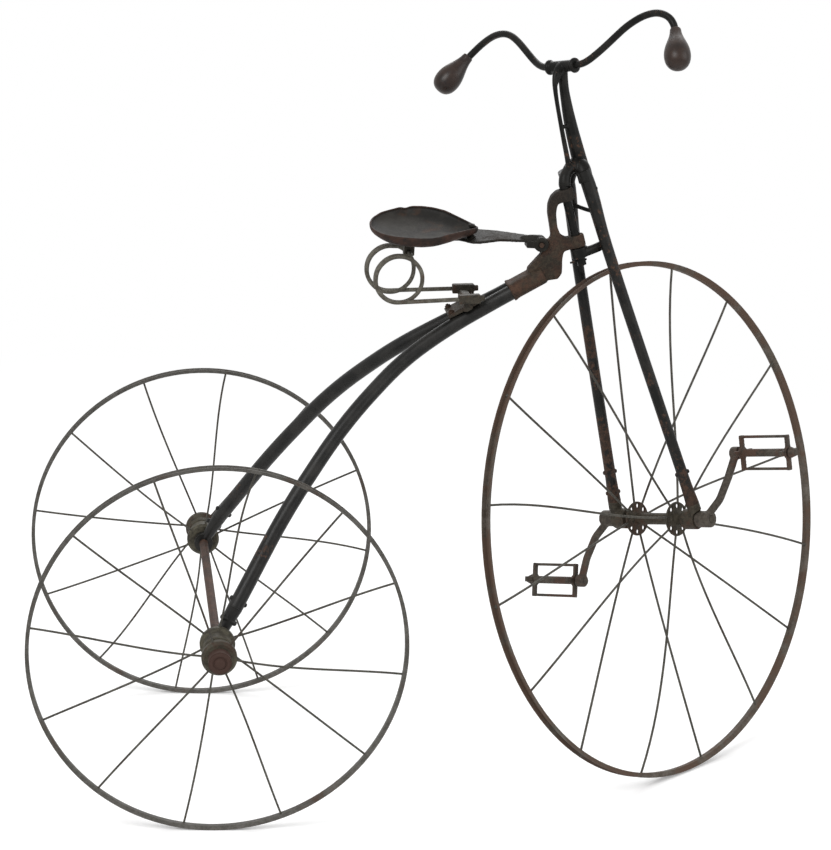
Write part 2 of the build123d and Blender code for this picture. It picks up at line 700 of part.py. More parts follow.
rear_plane = Plane(origin=(rear_x, 0, rear_radius), x_dir=(1, 0, 0), z_dir=(0, 1, 0))
hub_end = track / 2 + hub_half
axle_end = hub_end + side_gap + axle_cap_thick - axle_cap_wall
with BuildPart() as rear_axle:
    with BuildSketch(rear_plane.offset(-axle_end)):
        Circle(rear_axle_radius)
    extrude(amount=2 * axle_end)
keep(rear_axle.part, "rear_axle")

for name, side in (("right", -1), ("left", 1)):
    hub_plane = rear_plane.offset(side * track / 2)
    keep(rim(hub_plane, rear_radius, rear_rim_width, rear_rim_depth), f"rear_rim_{name}")
    keep(
        spokes(
            hub_plane, rear_spokes_per_side, hub_flange_radius, hub_half - hub_flange_thick / 2,
            rear_radius - rear_rim_depth, rear_spoke_radius, rear_spoke_turn,
        ),
        f"rear_spokes_{name}",
    )
    with BuildPart() as hub:
        with BuildSketch(at(hub_plane, Plane.XZ)):
            with BuildLine():
                Polyline(
                    (rear_axle_radius + run_gap, -hub_half),
                    (hub_flange_radius - hub_chamfer, -hub_half),
                    (hub_flange_radius, hub_chamfer - hub_half),
                    (hub_flange_radius, hub_flange_thick - hub_half),
                    (hub_waist_radius, hub_flange_thick + hub_chamfer - hub_half),
                    (hub_waist_radius, hub_half - hub_chamfer - hub_flange_thick),
                    (hub_flange_radius, hub_half - hub_flange_thick),
                    (hub_flange_radius, hub_half - hub_chamfer),
                    (hub_flange_radius - hub_chamfer, hub_half),
                    (rear_axle_radius + run_gap, hub_half),
                    close=True,
                )
            make_face()
        revolve(axis=Axis(hub_plane.origin, hub_plane.z_dir))
    keep(hub.part, f"rear_hub_{name}")
    cap_plane = Plane(
        origin=(rear_x, side * (hub_end + side_gap), rear_radius), x_dir=(1, 0, 0), z_dir=(0, side, 0)
    )
    with BuildPart() as cap:
        with BuildSketch(cap_plane):
            Circle(axle_cap_radius)
        extrude(amount=axle_cap_thick)
        with BuildSketch(cap_plane):
            Circle(rear_axle_radius + run_gap)
        extrude(amount=axle_cap_thick - axle_cap_wall + run_gap, mode=Mode.SUBTRACT)
    keep(cap.part, f"axle_cap_{name}")

# Saddle: a pressed pan on a flat leaf that reaches back from the head casting
pitch = radians(saddle_pitch)
roll = radians(saddle_roll)
knuckle = head.from_local_coords(Vector(knuckle_ahead, 0, knuckle_up))
saddle_x = knuckle.X - saddle_back
saddle_z = knuckle.Z + saddle_rise
saddle_plane = Plane(
    origin=(saddle_x, 0, saddle_z),
    x_dir=(cos(pitch), 0, -sin(pitch)),
    z_dir=(sin(pitch) * cos(roll), -sin(roll), cos(pitch) * cos(roll)),
)
with BuildPart() as saddle:
    for wall, mode in ((0.0, Mode.ADD), (saddle_wall, Mode.SUBTRACT)):
        for depth, half_width, nose, nose_half in pan_rings:
            with BuildSketch(saddle_plane.offset(wall - depth)):
                Circle(half_width - wall)
                with Locations((nose, 0)):
                    Circle(nose_half - wall)
                make_hull()
        loft(ruled=True, mode=mode)
keep(saddle.part, "saddle")

leaf_top = -pan_rings[-1][0] - seat_gap
with BuildPart() as saddle_bar:
    with BuildSketch(saddle_plane.offset(-cut_reach)):
        with BuildLine():
            Polyline(
                *[(x, half) for x, half, top in leaf_shape],
                *[(x, -half) for x, half, top in reversed(leaf_shape)], close=True,
            )
        make_face()
    extrude(amount=2 * cut_reach)
    with BuildSketch(at(saddle_plane, Plane.XZ)):
        with BuildLine():
            Polyline(
                *[(x, leaf_top + top) for x, half, top in leaf_shape],
                *[(x, leaf_top + top - leaf_thick) for x, half, top in reversed(leaf_shape)], close=True,
            )
        make_face()
    extrude(amount=cut_reach, both=True, mode=Mode.INTERSECT)
    for side in (-1, 1):
        cheek_plane = Plane(
            origin=(knuckle.X, side * (ear_half + seat_gap), knuckle.Z), x_dir=(1, 0, 0), z_dir=(0, side, 0)
        )
        with BuildSketch(cheek_plane):
            Circle(knuckle_radius)
            with Locations((-cheek_length / 2, 0)):
                Rectangle(cheek_length, knuckle_radius)
        extrude(amount=cheek_thick)
    with BuildSketch(Plane.YZ.offset(knuckle.X - cheek_length)):
        with Locations((0, knuckle.Z)):
            Rectangle(2 * (ear_half + seat_gap + cheek_thick), knuckle_radius)
    extrude(amount=cheek_length - knuckle_radius - 2)
    with BuildSketch(Plane(origin=(knuckle.X, 0, knuckle.Z), z_dir=(0, 1, 0))):
        Circle(knuckle_pin_radius + run_gap)
    extrude(amount=4 * ear_half, both=True, mode=Mode.SUBTRACT)
keep(saddle_bar.part, "saddle_bar")

pin_half = ear_half + cheek_thick + knuckle_pin_end
with BuildPart() as knuckle_pin:
    with BuildSketch(Plane(origin=(knuckle.X, -pin_half, knuckle.Z), z_dir=(0, 1, 0))):
        Circle(knuckle_pin_radius)
    extrude(amount=2 * pin_half)
keep(knuckle_pin.part, "knuckle_pin")

# Two wire springs under the saddle: a cross piece, one and a half turns and a straight tail each
cross_x = saddle_x - cross_back
coil_top = saddle_z - wire_drop
tail_z = saddle_z - tail_drop
coil_corners = coil_sides * 3 // 2
tails = []
for name, side, coil_back, coil_radius in coils:
    coil_x = saddle_x - coil_back
    coil_z = coil_top - coil_radius
    corner = coil_radius / cos(radians(180 / coil_sides))
    points = [Vector(cross_x, side * seat_gap, coil_top), Vector(cross_x, side * coil_inner, coil_top)]
    for number in range(coil_corners):
        angle = radians((number + 0.5) * 360 / coil_sides)
        out = coil_inner + (coil_outer - coil_inner) * number / (coil_corners - 1)
        points.append(Vector(coil_x - corner * sin(angle), side * out, coil_z + corner * cos(angle)))
    points.append(Vector(saddle_x + tail_ahead, side * tail_offset, tail_z))
    bends = [cross_bend] + [coil_radius * coil_arc] * coil_corners
    with BuildPart() as spring:
        with BuildLine() as path:
            FilletPolyline(*points, radius=bends)
        with BuildSketch(Plane(path.line @ 0, z_dir=path.line % 0)):
            Circle(wire_radius)
        sweep(path=path.line)
    keep(spring.part, f"spring_{name}")
    tails.append((points[-1], (points[-1] - points[-2]).normalized()))

block_length, block_width = seat_block
with BuildPart() as spring_seat:
    with BuildSketch(Plane.XY.offset(coil_top - wire_radius - seat_block_drop)):
        with Locations((cross_x, 0)):
            Rectangle(block_length, block_width)
    extrude(amount=coil_radius)
    with BuildSketch(saddle_plane.offset(leaf_top - leaf_thick - seat_gap)):
        Rectangle(4 * coil_radius, 4 * coil_radius)
    extrude(amount=2 * coil_radius, mode=Mode.SUBTRACT)
    with BuildSketch(Plane(origin=(cross_x, 0, coil_top), z_dir=(0, 1, 0))):
        Circle(wire_radius + 2 * run_gap)
    extrude(amount=block_width, both=True, mode=Mode.SUBTRACT)
keep(spring_seat.part, "spring_seat")

# The tails' clamp stands across both legs
leg_low = Vector(leg_points[2].X, 0, leg_points[2].Z)
leg_slope = (socket_plane.origin - leg_low).normalized()
foot_middle = leg_low + leg_slope * ((saddle_x + clamp_ahead - leg_low.X) / leg_slope.X)
foot_plane = Plane(origin=foot_middle, x_dir=leg_slope, z_dir=leg_slope.cross(Vector(0, 1, 0)))
foot_length, foot_width, foot_thick = clamp_foot
with BuildPart() as clamp:
    for end, way in tails:
        with BuildSketch(Plane(origin=end - way * clamp_grip, x_dir=(0, 1, 0), z_dir=way)):
            Rectangle(clamp_size, clamp_size)
        extrude(amount=clamp_length)
        with BuildSketch(Plane(origin=end + way * (clamp_length - clamp_grip), z_dir=way)):
            Circle(clamp_size / 3)
        extrude(amount=clamp_size / 2)
    with BuildSketch(Plane.XY.offset(foot_middle.Z + leg_radius)):
        with Locations((tails[0][0].X - 1, 0)):
            Rectangle(clamp_size, 2 * tail_offset)
    extrude(amount=tail_z - foot_middle.Z - leg_radius)
    with BuildSketch(foot_plane.offset(leg_radius + seat_gap - cut_reach)):
        Rectangle(2 * cut_reach, 2 * cut_reach)
    extrude(amount=cut_reach, mode=Mode.SUBTRACT)
    with BuildSketch(foot_plane.offset(leg_radius + seat_gap)):
        Rectangle(foot_length, foot_width)
    extrude(amount=foot_thick)
    for end, way in tails:
        with BuildSketch(Plane(origin=end - way * 2 * clamp_grip, z_dir=way)):
            Circle(wire_radius + run_gap)
        extrude(amount=2 * clamp_grip + seat_gap, mode=Mode.SUBTRACT)
keep(clamp.part, "spring_clamp")
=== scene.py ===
import json

import bmesh
import bpy
from math import acos, cos, pi, radians, sin, tau
from mathutils import Matrix, Vector, noise


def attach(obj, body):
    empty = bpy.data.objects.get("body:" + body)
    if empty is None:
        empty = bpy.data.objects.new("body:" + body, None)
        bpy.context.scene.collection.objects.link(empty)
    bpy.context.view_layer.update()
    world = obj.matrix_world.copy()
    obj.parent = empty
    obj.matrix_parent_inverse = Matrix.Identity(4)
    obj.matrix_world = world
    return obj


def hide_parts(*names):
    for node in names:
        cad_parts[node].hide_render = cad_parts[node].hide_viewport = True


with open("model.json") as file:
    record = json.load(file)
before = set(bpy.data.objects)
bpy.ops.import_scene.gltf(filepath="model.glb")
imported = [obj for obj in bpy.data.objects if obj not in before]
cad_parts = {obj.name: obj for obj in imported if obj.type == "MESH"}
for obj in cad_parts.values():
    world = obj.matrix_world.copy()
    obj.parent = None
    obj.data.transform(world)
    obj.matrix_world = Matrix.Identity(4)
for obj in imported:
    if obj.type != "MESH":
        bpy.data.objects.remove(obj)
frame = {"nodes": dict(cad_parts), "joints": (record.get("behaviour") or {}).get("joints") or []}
nodes = frame["nodes"]
joints = {joint["name"]: joint for joint in frame["joints"]}
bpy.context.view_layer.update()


# The two legs are bent iron rods under old black paint, worn to dull patches and pin-head
# rust. Each is let into the head casting in front and runs down to a forged lug on the rear
# axle, where two rivets are driven through its end.
class Shade:
    """A shader socket that takes part in Python arithmetic."""

    def __init__(self, tree, socket):
        self.tree = tree
        self.socket = socket

    def node(self, kind, settings, *sockets, output=0):
        """An output of a new shader node, given its settings and then its sockets' values."""
        made = self.tree.nodes.new("ShaderNode" + kind)
        for name, value in settings.items():
            setattr(made, name, value)
        for name, value in sockets:
            if isinstance(value, Shade):
                self.tree.links.new(value.socket, made.inputs[name])
            else:
                made.inputs[name].default_value = value
        return Shade(self.tree, made.outputs[output])

    def math(self, operation, *others):
        """The outcome of a Math node on this and other sockets or numbers."""
        return self.node("Math", {"operation": operation}, *enumerate((self, *others)))

    def __add__(self, other):
        return self.math("ADD", other)

    def __sub__(self, other):
        return self.math("SUBTRACT", other)

    def __mul__(self, other):
        return self.math("MULTIPLY", other)

    def __rsub__(self, other):
        return self * -1 + other

    __radd__ = __add__
    __rmul__ = __mul__

    def step(self, low, high):
        """Rises smoothly from 0 where this is low to 1 where it is high."""
        return self.node(
            "MapRange", {"interpolation_type": "SMOOTHSTEP"}, ("Value", self), (1, low), (2, high)
        )

    def noise(self, scale, detail=4.0, rough=0.6):
        """Noise at this place, from 0 to 1."""
        return self.node(
            "TexNoise", {}, ("Vector", self), ("Scale", scale), ("Detail", detail), ("Roughness", rough)
        )

    def part(self, letter):
        """One coordinate of this place."""
        return self.node("SeparateXYZ", {}, (0, self), output="XYZ".index(letter))

    def mix(self, low, high):
        """Colour low where this is 0, high where it is 1."""
        return self.node("Mix", {"data_type": "RGBA"}, (0, self), (6, low), (7, high), output=2)

    def studio_ray(self):
        """1 on the rays that see the studio: the camera's, and those sent on by metal or glass."""
        kinds = ("Is Camera Ray", "Is Glossy Ray", "Is Transmission Ray")
        camera, glossy, through = (self.node("LightPath", {}, output=kind) for kind in kinds)
        return (camera + glossy + through).step(0.0, 1.0)


def skin(name, gloss=0.16):
    """A new material of this gloss, its surface shader and the object's place as a Shade."""
    material = bpy.data.materials.new(name)
    material.use_nodes = True
    tree = material.node_tree
    place = Shade(tree, tree.nodes.new("ShaderNodeTexCoord").outputs["Object"])
    surface = tree.nodes["Principled BSDF"]
    surface.inputs["Specular IOR Level"].default_value = gloss
    return material, surface, place


def finish(surface, **looks):
    """Gives a surface its colour, roughness and the like, as constants or shades."""
    for name, value in looks.items():
        socket = surface.inputs[name.replace("_", " ")]
        if isinstance(value, Shade):
            value.tree.links.new(value.socket, socket)
        else:
            socket.default_value = value


def bump(height, strength, distance):
    """A surface normal roughened by a height."""
    return height.node("Bump", {}, ("Strength", strength), ("Distance", distance), ("Height", height))


def old_paint(name, wear, gloss, low=0.0, high=0.0):
    """Old black paint, chipped to brown iron, more so from the height high down to low."""
    material, surface, place = skin(name, gloss)
    broad = place.noise(16.0, 5.0, 0.65)
    fine = place.noise(170.0, 6.0, 0.7)
    pitted = broad * 0.55 + fine * 0.45
    if high > low:
        pitted = pitted + (1 - place.part("Z").step(low, high)) * 0.13
    chips = pitted.step(wear, wear + 0.05)
    dull = place.noise(38.0, 4.0).step(0.35, 0.7)
    paint = dull.mix((0.006, 0.006, 0.0055, 1), (0.017, 0.016, 0.0145, 1))
    rust = fine.step(0.35, 0.65).mix((0.022, 0.015, 0.011, 1), (0.06, 0.034, 0.023, 1))
    finish(
        surface,
        Base_Color=chips.mix(paint, rust),
        Roughness=chips * 0.25 + fine * 0.2 + dull * 0.12 + 0.24,
        Normal=bump(fine * 0.5 + broad * 0.6 - chips * 0.4, 0.4, 0.0006),
    )
    return material


def dress(material, *names):
    """Puts a material on every face of these nodes."""
    for name in names:
        node = nodes[name]
        node.data.materials.clear()
        node.data.materials.append(material)


def stand(place, way):
    """Turns z to a direction and moves to a place."""
    return Matrix.Translation(place) @ Vector(way).to_track_quat("Z", "Y").to_matrix().to_4x4()


def put_in(form, part, matrix):
    """Moves a small bmesh to its place in a larger one."""
    bmesh.ops.transform(part, matrix=matrix, verts=part.verts)
    bmesh.ops.remove_doubles(part, verts=part.verts, dist=1e-6)
    bmesh.ops.recalc_face_normals(part, faces=part.faces)
    mesh = bpy.data.meshes.new("part")
    part.to_mesh(mesh)
    part.free()
    form.from_mesh(mesh)
    bpy.data.meshes.remove(mesh)


def turn_up(form, outline, matrix, sides=16):
    """Adds a solid turned about z from corners of (radius, height)."""
    part = bmesh.new()
    corners = [part.verts.new((radius, 0, height)) for radius, height in outline]
    edges = [part.edges.new(pair) for pair in zip(corners, corners[1:])]
    bmesh.ops.spin(
        part, geom=corners + edges, cent=(0, 0, 0), axis=(0, 0, 1), angle=tau, steps=sides,
        use_merge=True,
    )
    put_in(form, part, matrix)


def rivet(form, place, way, half, radius, rise):
    """Adds a rivet with a domed head at both ends, centred at a place."""
    dome = [(radius * cos(a), half + rise * sin(a)) for a in (0, 0.5, 1.0)] + [(0, half + rise)]
    outline = [(r, -h) for r, h in reversed(dome)] + dome
    turn_up(form, outline, stand(place, way))


def piece(name, form, body, slot, *materials, crease=32):
    """A piece of the object, made of a bmesh, that rides on a body."""
    mesh = bpy.data.meshes.new(name)
    form.to_mesh(mesh)
    form.free()
    mesh.shade_smooth()
    mesh.set_sharp_from_angle(angle=radians(crease))
    for material in materials:
        mesh.materials.append(material)
    made = bpy.data.objects.new(name, mesh)
    bpy.context.scene.collection.objects.link(made)
    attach(made, body)
    return made


black = old_paint("leg paint", wear=0.585, gloss=0.22)
dress(black, "leg_left", "leg_right", "axle_lug_left", "axle_lug_right")
form = bmesh.new()
for side in (-1, 1):
    down_leg = Vector((-0.45361, side * 0.43085, -0.78013))
    across = down_leg.cross(Vector((0, 1, 0))).normalized()
    upper, lower = (-0.2746, side * 0.1818, 0.2699), (-0.2861, side * 0.1926, 0.2501)
    rivet(form, upper, across, half=0.0097, radius=0.0030, rise=0.0022)
    rivet(form, lower, across, half=0.0088, radius=0.0032, rise=0.0024)
piece("leg_rivets", form, "frame", "worn_black", black)

# The head casting is iron, rusted brown with hardly any paint left but up its arm. It takes
# both legs in a double socket, has the two eyes that the fork turns on, and a knuckle for
# the saddle's leaf.
rusted, surface, place = skin("rusted casting", 0.15)
broad = place.noise(26.0, 6.0, 0.7)
fine = place.noise(230.0, 6.0, 0.75)
patch = place.noise(55.0, 5.0, 0.7).step(0.42, 0.62)
arm = place.part("Z").step(0.66, 0.76)
dark = place.part("Z").step(0.695, 0.735)
brown = (broad * 0.6 + fine * 0.4).step(0.38, 0.64)
brown = brown.mix((0.02, 0.014, 0.011, 1), (0.07, 0.038, 0.025, 1))
olive = fine.step(0.3, 0.7).mix((0.018, 0.016, 0.012, 1), (0.05, 0.044, 0.031, 1))
old_coat = fine.step(0.3, 0.7).mix((0.009, 0.0085, 0.008, 1), (0.026, 0.022, 0.018, 1))
finish(
    surface,
    Base_Color=(dark * 0.85).mix((patch * 0.65 + arm * 0.3).mix(brown, olive), old_coat),
    Roughness=0.55 + fine * 0.3,
    Metallic=0.1,
    Normal=bump(fine * 0.5 + broad, 0.55, 0.0008),
)
dress(rusted, "knuckle_pin")


def copy_of(*names):
    """A merged copy of these nodes' shapes."""
    form = bmesh.new()
    for name in names:
        form.from_mesh(nodes[name].data)
    bmesh.ops.remove_doubles(form, verts=form.verts, dist=1e-6)
    return form


def run_together(name, form, grain, rounds, body, slot, material, *stood_for):
    """A piece with its edges and joins run together, as a casting's or a forging's are."""
    made = piece(name, form, body, slot, material)
    cover = made.modifiers.new("cover", "REMESH")
    cover.mode = "VOXEL"
    cover.voxel_size = grain
    ease = made.modifiers.new("ease", "SMOOTH")
    ease.factor = 0.5
    ease.iterations = rounds
    bpy.context.view_layer.update()
    shaped = made.evaluated_get(bpy.context.evaluated_depsgraph_get())
    mesh = bpy.data.meshes.new_from_object(shaped)
    mesh.shade_smooth()
    made.modifiers.clear()
    made.data = mesh
    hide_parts(*stood_for)


run_together(
    "casting_body", copy_of("head_casting"), 0.0012, 22, "frame", "rusted_iron", rusted, "head_casting"
)

# The rear axle is a plain iron rod, bent with age and gone evenly red-brown. It is held in
# the lugs at the legs' feet.
material, surface, place = skin("axle rust")
broad = place.noise(35.0, 6.0, 0.7)
fine = place.noise(260.0, 6.0, 0.75)
rust = (broad * 0.6 + fine * 0.4).step(0.36, 0.66)
finish(
    surface,
    Base_Color=rust.mix((0.03, 0.02, 0.016, 1), (0.092, 0.05, 0.036, 1)),
    Roughness=0.5 + fine * 0.3,
    Metallic=0.1,
    Normal=bump(fine, 0.4, 0.0005),
)
dress(material, "rear_axle")


# Wheel irons: open channel rims that have lost their tyres, turned hubs, and plain wire
# spokes that age has bent. The wires are let into the hub's flanges and peened over in the
# rim's channel.
def bare_iron(name, pale, dark, rust, share):
    """Bare iron with a thin brown skin over a share of it."""
    material, surface, place = skin(name, 0.15)
    broad = place.noise(13.0, 6.0, 0.7)
    fine = place.noise(240.0, 6.0, 0.75)
    worn = (place.noise(60.0, 5.0, 0.7) * 0.6 + fine * 0.4).step(0.38, 0.64)
    stain = (broad * 0.7 + fine * 0.3).step(0.66 - share * 0.34, 0.76 - share * 0.34)
    finish(
        surface,
        Base_Color=stain.mix(worn.mix(dark, pale), rust),
        Roughness=0.42 + fine * 0.3 + stain * 0.12,
        Metallic=0.12 - stain * 0.1,
        Normal=bump(fine, 0.4, 0.0004),
    )
    return material


def bent_wire(form, hub_end, rim_end, bend_way, radius, bends):
    """Adds a round wire, bent sideways at its thirds and its far end."""
    run = rim_end - hub_end
    part = bmesh.new()
    bmesh.ops.create_cone(
        part, cap_ends=True, segments=10, radius1=radius, radius2=radius, depth=run.length,
        matrix=Matrix.Translation((0, 0, run.length / 2)),
    )
    lengthwise = [edge for edge in part.edges if edge.calc_length() > run.length / 2]
    bmesh.ops.subdivide_edges(part, edges=lengthwise, cuts=14, use_grid_fill=True)
    for corner in part.verts:
        t = corner.co.z / run.length
        weights = (
            13.5 * t * (t - 2 / 3) * (t - 1), -13.5 * t * (t - 1 / 3) * (t - 1),
            4.5 * t * (t - 1 / 3) * (t - 2 / 3),
        )
        corner.co.x += sum(weight * bend for weight, bend in zip(weights, bends)) / 1000
    along = run.normalized()
    side = (bend_way - bend_way.dot(along) * along).normalized()
    axes = Matrix((side, along.cross(side), along)).transposed().to_4x4()
    put_in(form, part, Matrix.Translation(hub_end) @ axes)


def spoke_wheel(name, body, straight, wheel, flange, inset, floor, radius, rows):
    """Makes a wheel's wires and their peened heads, in place of its straight ones."""
    let_in = 0.0015
    rim_wall = 0.0012
    wires = bmesh.new()
    heads = bmesh.new()
    for side, turn, bends in rows:
        for number, bend in enumerate(bends):
            angle = radians(turn + number * 360 / len(bends))
            out = Vector((cos(angle), sin(angle), 0))
            round_way = Vector((-sin(angle), cos(angle), 0))
            level = Vector((0, 0, side))
            hub_end = wheel @ (out * (flange - let_in) + level * inset)
            rim_end = wheel @ (out * (floor + rim_wall / 3) + level * radius)
            bent_wire(wires, hub_end, rim_end, wheel.to_3x3() @ round_way, radius, bend)
            seat = wheel @ (out * (floor + rim_wall) + round_way * bend[2] / 1000 + level * radius)
            head = [(0, 0), (1.7, 0), (1.6, 0.5), (0.9, 1), (0, 1.1)]
            head = [(radius * wide, radius * high) for wide, high in head]
            turn_up(heads, head, stand(seat, wheel.to_3x3() @ out), 10)
    made = piece(f"{name}_bent_spokes", wires, body, "grey_iron", wire_iron)
    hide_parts(straight)
    piece(f"{name}_spoke_heads", heads, body, "grey_iron", wire_iron)


def wheel_frame(joint, ahead):
    """A matrix from a wheel's own coordinates, its z along the joint that it spins on."""
    ahead, axis = Vector(ahead).normalized(), Vector(joint["axis"]).normalized()
    axes = Matrix((ahead, axis.cross(ahead), axis)).transposed().to_4x4()
    return Matrix.Translation(joint["pos_m"]) @ axes


wire_iron = bare_iron(
    "wire iron", (0.09, 0.084, 0.07, 1), (0.045, 0.042, 0.036, 1), (0.048, 0.036, 0.028, 1), 0.4
)
rear_iron = bare_iron(
    "rear rim iron", (0.118, 0.112, 0.102, 1), (0.066, 0.062, 0.055, 1), (0.068, 0.049, 0.038, 1), 0.4
)
hub_iron = bare_iron(
    "hub iron", (0.088, 0.08, 0.058, 1), (0.036, 0.032, 0.024, 1), (0.045, 0.028, 0.02, 1), 0.45
)
dress(rear_iron, "rear_rim_left", "rear_rim_right")
dress(hub_iron, "rear_hub_left", "rear_hub_right")
for name, rows in (
    ("right", (
        (1, -23.3, ((1.6, 0.6, 1.6), (-1.8, -2.7, -3.7), (0.5, 2.7, 7.7), (-2.8, -2.5, -1.6),
                    (2.6, 4.5, 7.5), (1.2, 2.1, 10.8))),
        (-1, 6.7, ((3.5, 1.6, 0.3), (0.3, 3.2, 5.9), (1.8, 4.3, 5.5), (-2.5, -0.9, -0.3),
                   (3.0, 4.6, 6.6), (2.0, 4.2, 7.8))),
    )),
    ("left", (
        (1, 6.7, ((-3.1, -6.6, -4.9), (1.7, 3.0, 5.9), (-0.7, -3.8, -1.4), (-1.3, -1.0, 1.0),
                  (0.0, 0.7, 4.3), (0.0, 0.0, 0.0))),
        (-1, -23.3, ((-2.7, -4.2, -4.2), (2.1, 3.4, 6.2), (-2.5, -0.3, 2.9), (-1.1, -1.7, -0.7),
                     (-2.0, -0.3, 3.0), (0.0, -3.6, -2.6))),
    )),
):
    spoke_wheel(
        f"rear_{name}", f"rear_wheel_{name}", f"rear_spokes_{name}",
        wheel_frame(joints[f"rear_wheel_{name}_spin"], (1, 0, 0)),
        flange=0.021, inset=0.0255, floor=0.2204, radius=0.0013, rows=rows,
    )

# A rear hub is turned iron with a raised band round its waist. The cap on the axle's end
# is brown iron, and its face has a ring and a worn boss.
cap_brown = bare_iron(
    "cap brown", (0.05, 0.038, 0.03, 1), (0.02, 0.016, 0.013, 1), (0.05, 0.028, 0.022, 1), 0.8
)
dress(cap_brown, "axle_cap_left", "axle_cap_right")
for name, side in (("right", -1), ("left", 1)):
    hub_middle = Vector(joints[f"rear_wheel_{name}_spin"]["pos_m"])
    form = bmesh.new()
    band = [(0.0165, -0.0035), (0.0185, -0.0027), (0.0193, 0), (0.0185, 0.0027), (0.0165, 0.0035)]
    turn_up(form, band + band[:1], stand(hub_middle + Vector((0, side * 0.004, 0)), (0, 1, 0)), 48)
    piece(f"hub_band_{name}", form, f"rear_wheel_{name}", "grey_iron", hub_iron)
    form = bmesh.new()
    face = [
        (0, -0.001), (0.0126, -0.001), (0.0126, 0.0003), (0.0118, 0.0011), (0.0088, 0.0012),
        (0.0078, 0.0002), (0.0066, 0.0002), (0.0058, 0.0016), (0.0035, 0.0023), (0, 0.0025),
    ]
    turn_up(form, face, stand(hub_middle + Vector((0, side * 0.0443, 0)), (0, side, 0)), 40)
    piece(f"axle_cap_face_{name}", form, "frame", "brown_iron", cap_brown)

# The front wheel has a browner rim and a turned hub with pierced flanges. The cranks are
# fixed on its axle, outside the fork's ends, and the pedals are open cages on spindles. All
# are forged iron of the same brown.
front_iron = bare_iron(
    "front rim iron", (0.122, 0.108, 0.092, 1), (0.062, 0.05, 0.039, 1), (0.084, 0.054, 0.039, 1), 0.66
)
front_brown = bare_iron(
    "front hub iron", (0.062, 0.054, 0.04, 1), (0.026, 0.022, 0.016, 1), (0.05, 0.03, 0.021, 1), 0.6
)
crank_iron = bare_iron(
    "crank iron", (0.088, 0.076, 0.062, 1), (0.04, 0.033, 0.027, 1), (0.072, 0.042, 0.031, 1), 0.5
)
dress(front_iron, "front_rim")
dress(front_brown, "front_axle")
dress(crank_iron, "pedal_spindle_left", "pedal_spindle_right")
for side in ("left", "right"):
    run_together(
        f"crank_{side}_arm", copy_of(f"crank_{side}"), 0.0009, 8, "front_wheel", "brown_iron",
        crank_iron, f"crank_{side}",
    )
    run_together(
        f"pedal_{side}_cage", copy_of(f"pedal_{side}"), 0.0007, 5, f"pedal_{side}", "brown_iron",
        crank_iron, f"pedal_{side}",
    )
    run_together(
        f"fork_end_{side}_eye", copy_of(f"fork_end_{side}"), 0.0009, 8, "fork", "brown_iron",
        front_brown, f"fork_end_{side}",
    )
front = wheel_frame(joints["front_wheel_spin"], (0.70299, 0.67752, 0.21627))
form = bmesh.new()
barrel = [
    (0, -0.0457), (0.0075, -0.0457), (0.0075, -0.0345), (0.0095, -0.0335), (0.0216, -0.0332),
    (0.022, -0.032), (0.0216, -0.0308), (0.0095, -0.0305), (0.0075, -0.0295),
]
turn_up(form, barrel + [(r, -h) for r, h in reversed(barrel)], front, 48)
hub = piece("front_hub_body", form, "front_wheel", "grey_iron", front_brown)
form = bmesh.new()
holes_in_flange, hole_circle, hole_radius, hole_half, flange_inset = 8, 0.0165, 0.003, 0.004, 0.032
hole = [(0, -hole_half), (hole_radius, -hole_half), (hole_radius, hole_half), (0, hole_half)]
for number in range(holes_in_flange):
    turned = front @ Matrix.Rotation(radians((number + 0.5) * 360 / holes_in_flange), 4, "Z")
    for level in (-flange_inset, flange_inset):
        turn_up(form, hole, turned @ Matrix.Translation((hole_circle, 0, level)), 16)
holes = piece("holes", form, "front_wheel", "grey_iron", front_brown)
pierce = hub.modifiers.new("pierce", "BOOLEAN")
pierce.operation = "DIFFERENCE"
pierce.object = holes
bpy.context.view_layer.update()
hub.data = bpy.data.meshes.new_from_object(hub.evaluated_get(bpy.context.evaluated_depsgraph_get()))
hub.modifiers.clear()
bpy.data.objects.remove(holes)
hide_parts("front_hub")
spoke_wheel(
    "front", "front_wheel", "front_spokes", front,
    flange=0.022, inset=flange_inset, floor=0.322, radius=0.0015,
    rows=(
        (1, 5.8, ((-3.8, -1.0, 1.4), (-1.6, -2.2, -2.2), (2.9, 2.9, 1.5), (1.5, 0.0, -1.9),
                  (-2.7, -6.7, -8.7), (0.7, -1.1, -2.2), (-0.6, -0.5, 2.9), (-4.0, -1.4, -0.5))),
        (-1, 28.3, ((-1.0, 0.7, 6.3), (5.2, 1.0, -2.8), (-8.1, -11.7, 3.5), (3.9, 0.8, -1.9),
                    (-5.5, -5.2, -12.6), (0.8, 3.8, 1.3), (-2.6, -7.8, -1.0), (-5.8, -4.9, -2.7))),
    ),
)

# The fork, its crown, bridge and pins, the stem and the handlebar are iron under the same
# black paint, browner towards the axle. Their places are given ahead, to the left and up
# the steering axis from the front axle's height.
fork_paint = old_paint("fork paint", wear=0.545, gloss=0.16, low=0.22, high=0.60)
stem_paint = old_paint("stem paint", wear=0.57, gloss=0.1)
dress(stem_paint, "steering_pin", "split_pin")
axis_foot = (0.34494, 0, 0)
axle_up = 0.329155
turned = Matrix(((0.70299, -0.64757, -0.29404), (0.67752, 0.7355, 0), (0.21627, -0.19922, 0.95579)))
steered = Matrix.Translation(axis_foot) @ turned.to_4x4() @ Matrix.Translation((0, 0, axle_up))


